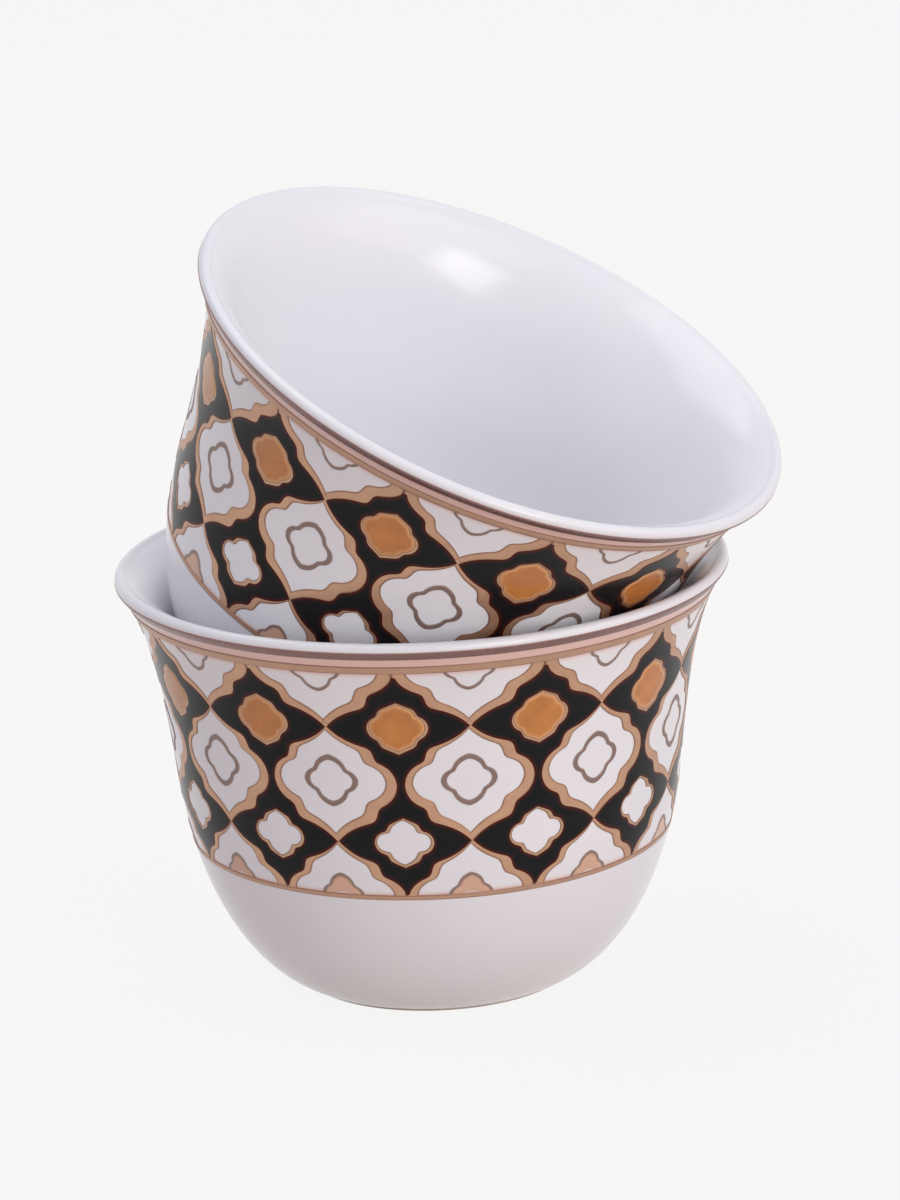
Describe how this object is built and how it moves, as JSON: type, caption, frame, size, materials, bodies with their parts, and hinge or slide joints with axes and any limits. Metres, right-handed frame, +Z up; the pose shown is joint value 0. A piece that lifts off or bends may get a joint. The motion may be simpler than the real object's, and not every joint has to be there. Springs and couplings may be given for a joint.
{
  "type": "coffee cup pair",
  "caption": "Handleless porcelain coffee cups with a flared lip and a printed lattice band, one standing and its twin leaning in it.",
  "frame": {"origin": "centre of the standing cup's foot ring, on the table", "axes": "+Z up along the standing cup's axis; +X to the right in the picture, and the upper cup leans towards +X and a little towards -Y, which is towards the viewer"},
  "size_m": [0.0762, 0.0742, 0.0896],
  "materials": {
    "porcelain": "matte",
    "clear_glaze": "glossy",
    "black_enamel": "glossy",
    "amber_enamel": "glossy",
    "gold": "satin",
    "grey_brown_lustre": "satin"
  },
  "bodies": {
    "lower_cup": {"lower_cup_body": "porcelain", "lower_cup_glaze": "clear_glaze", "lower_cup_black_enamel": "black_enamel", "lower_cup_figure_outlines": "gold", "lower_cup_figure_rings": "grey_brown_lustre", "lower_cup_amber_medallions": "amber_enamel", "lower_cup_medallion_edges": "gold", "lower_cup_lip_line": "gold", "lower_cup_band_top_line": "gold", "lower_cup_band_foot_line": "gold"},
    "upper_cup": {"upper_cup_body": "porcelain", "upper_cup_glaze": "clear_glaze", "upper_cup_black_enamel": "black_enamel", "upper_cup_figure_outlines": "gold", "upper_cup_figure_rings": "grey_brown_lustre", "upper_cup_amber_medallions": "amber_enamel", "upper_cup_medallion_edges": "gold", "upper_cup_lip_line": "gold", "upper_cup_band_top_line": "gold", "upper_cup_band_foot_line": "gold"}
  },
  "joints": [
    {"name": "upper_cup_lift", "type": "slide", "parent": "lower_cup", "child": "upper_cup", "axis": [0, 0, 1], "range_m": [0, 0.045]}
  ]
}
